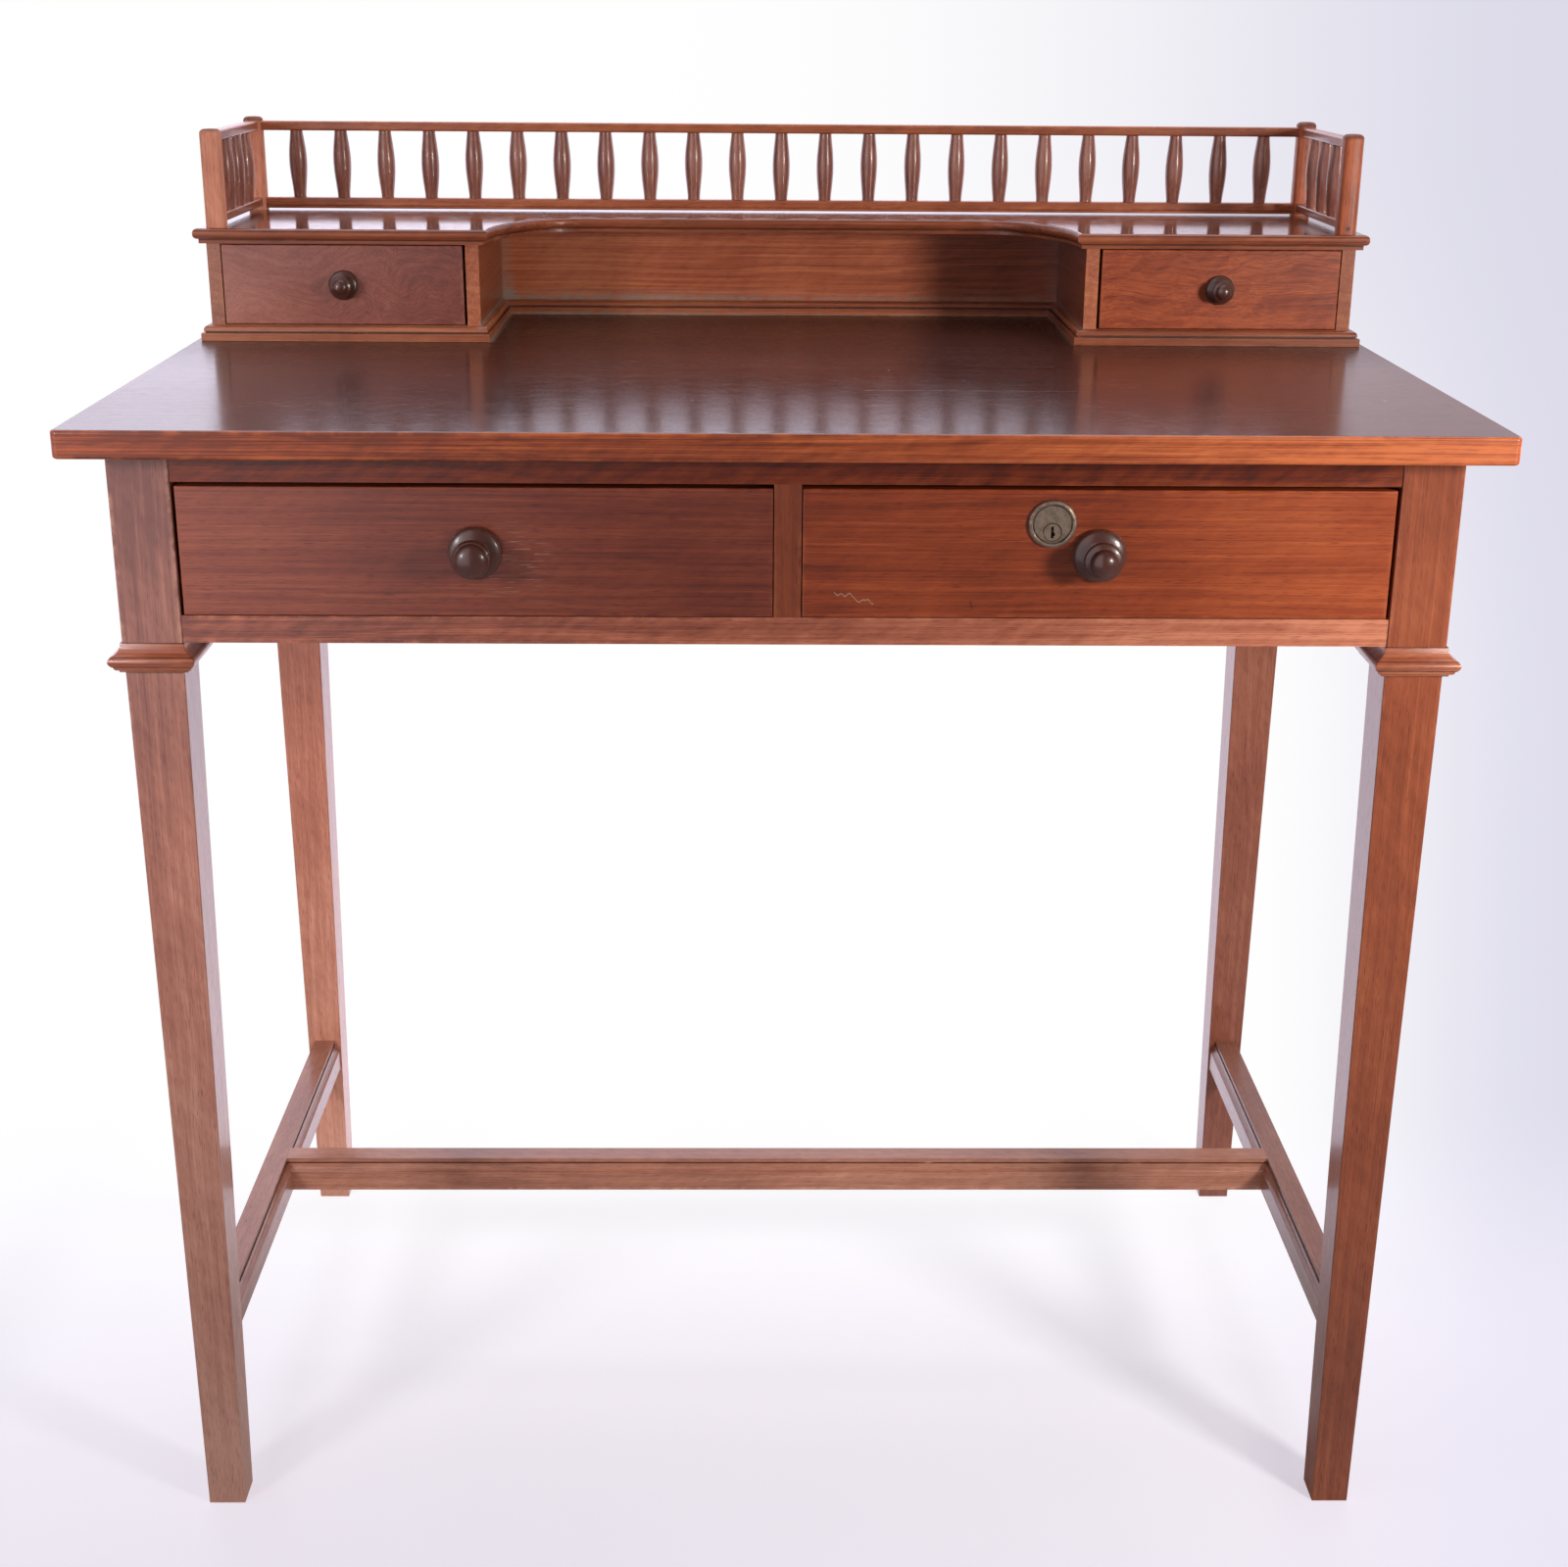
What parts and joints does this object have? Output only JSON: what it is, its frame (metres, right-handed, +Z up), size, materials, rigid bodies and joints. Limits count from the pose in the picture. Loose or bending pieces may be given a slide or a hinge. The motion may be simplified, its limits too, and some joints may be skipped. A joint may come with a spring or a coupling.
{
  "type": "bonheur du jour writing desk",
  "caption": "Lady's writing desk on tapered legs with frieze drawers and a low superstructure of small drawers, swept shelf and turned spindle gallery.",
  "frame": {"origin": "on the floor, under the middle of the table top", "axes": "+Z up, the drawers face -Y, +X to the right of someone who sits at it"},
  "size_m": [0.85, 0.526, 0.913],
  "materials": {
    "top_wood": "polished",
    "case_wood": "waxed",
    "inner_wood": "bare",
    "dark_wood": "polished",
    "lock_brass": "aged",
    "lock_steel": "dull"
  },
  "bodies": {
    "desk": {"table_top": "top_wood", "leg_front_left": "case_wood", "leg_front_right": "case_wood", "leg_back_left": "case_wood", "leg_back_right": "case_wood", "leg_collars": "case_wood", "front_top_rail": "case_wood", "front_bottom_rail": "case_wood", "drawer_divider": "case_wood", "side_apron_left": "case_wood", "side_apron_right": "case_wood", "back_apron": "case_wood", "side_stretcher_left": "case_wood", "side_stretcher_right": "case_wood", "cross_stretcher": "case_wood", "drawer_runners": "inner_wood", "drawer_guides": "inner_wood", "drawer_kickers": "inner_wood", "drawer_stops": "inner_wood", "top_screws": "lock_steel", "outer_side_left": "case_wood", "outer_side_right": "case_wood", "inner_side_left": "case_wood", "inner_side_right": "case_wood", "box_floors": "inner_wood", "back_board": "case_wood", "base_mouldings": "case_wood", "gallery_shelf": "case_wood", "gallery_posts": "case_wood", "gallery_back_rails": "case_wood", "gallery_side_rails": "case_wood", "back_spindles": "case_wood", "side_spindles": "case_wood", "post_peg": "case_wood"},
    "left_drawer": {"left_drawer_front": "case_wood", "left_drawer_sides": "inner_wood", "left_drawer_back": "inner_wood", "left_drawer_bottom": "inner_wood", "left_drawer_knob": "dark_wood"},
    "right_drawer": {"right_drawer_front": "case_wood", "right_drawer_sides": "inner_wood", "right_drawer_back": "inner_wood", "right_drawer_bottom": "inner_wood", "right_drawer_knob": "dark_wood", "lock_cylinder": "lock_brass", "lock_case": "lock_steel", "lock_screws": "lock_steel"},
    "upper_left_drawer": {"upper_left_drawer_front": "case_wood", "upper_left_drawer_sides": "inner_wood", "upper_left_drawer_back": "inner_wood", "upper_left_drawer_bottom": "inner_wood", "upper_left_drawer_knob": "dark_wood"},
    "upper_right_drawer": {"upper_right_drawer_front": "case_wood", "upper_right_drawer_sides": "inner_wood", "upper_right_drawer_back": "inner_wood", "upper_right_drawer_bottom": "inner_wood", "upper_right_drawer_knob": "dark_wood"},
    "lock_plug": {"lock_plug": "lock_brass"},
    "lock_bolt": {"lock_bolt": "lock_steel"}
  },
  "joints": [
    {"name": "left_drawer_slide", "type": "slide", "parent": "desk", "child": "left_drawer", "axis": [0, -1, 0], "range_m": [0, 0.3]},
    {"name": "right_drawer_slide", "type": "slide", "parent": "desk", "child": "right_drawer", "axis": [0, -1, 0], "range_m": [0, 0.3]},
    {"name": "upper_left_drawer_slide", "type": "slide", "parent": "desk", "child": "upper_left_drawer", "axis": [0, -1, 0], "range_m": [0, 0.11]},
    {"name": "upper_right_drawer_slide", "type": "slide", "parent": "desk", "child": "upper_right_drawer", "axis": [0, -1, 0], "range_m": [0, 0.11]},
    {"name": "lock_plug_turn", "type": "hinge", "parent": "right_drawer", "child": "lock_plug", "pos_m": [0.15887, -0.227, 0.6989], "axis": [0, 1, 0], "range_deg": [0, 180]},
    {"name": "lock_bolt_slide", "type": "slide", "parent": "right_drawer", "child": "lock_bolt", "axis": [0, 0, 1], "range_m": [0, 0.0071]}
  ],
  "couplings": [
    {"joint": "lock_bolt_slide", "follows": "lock_plug_turn", "m_per_rad": 0.002228}
  ]
}
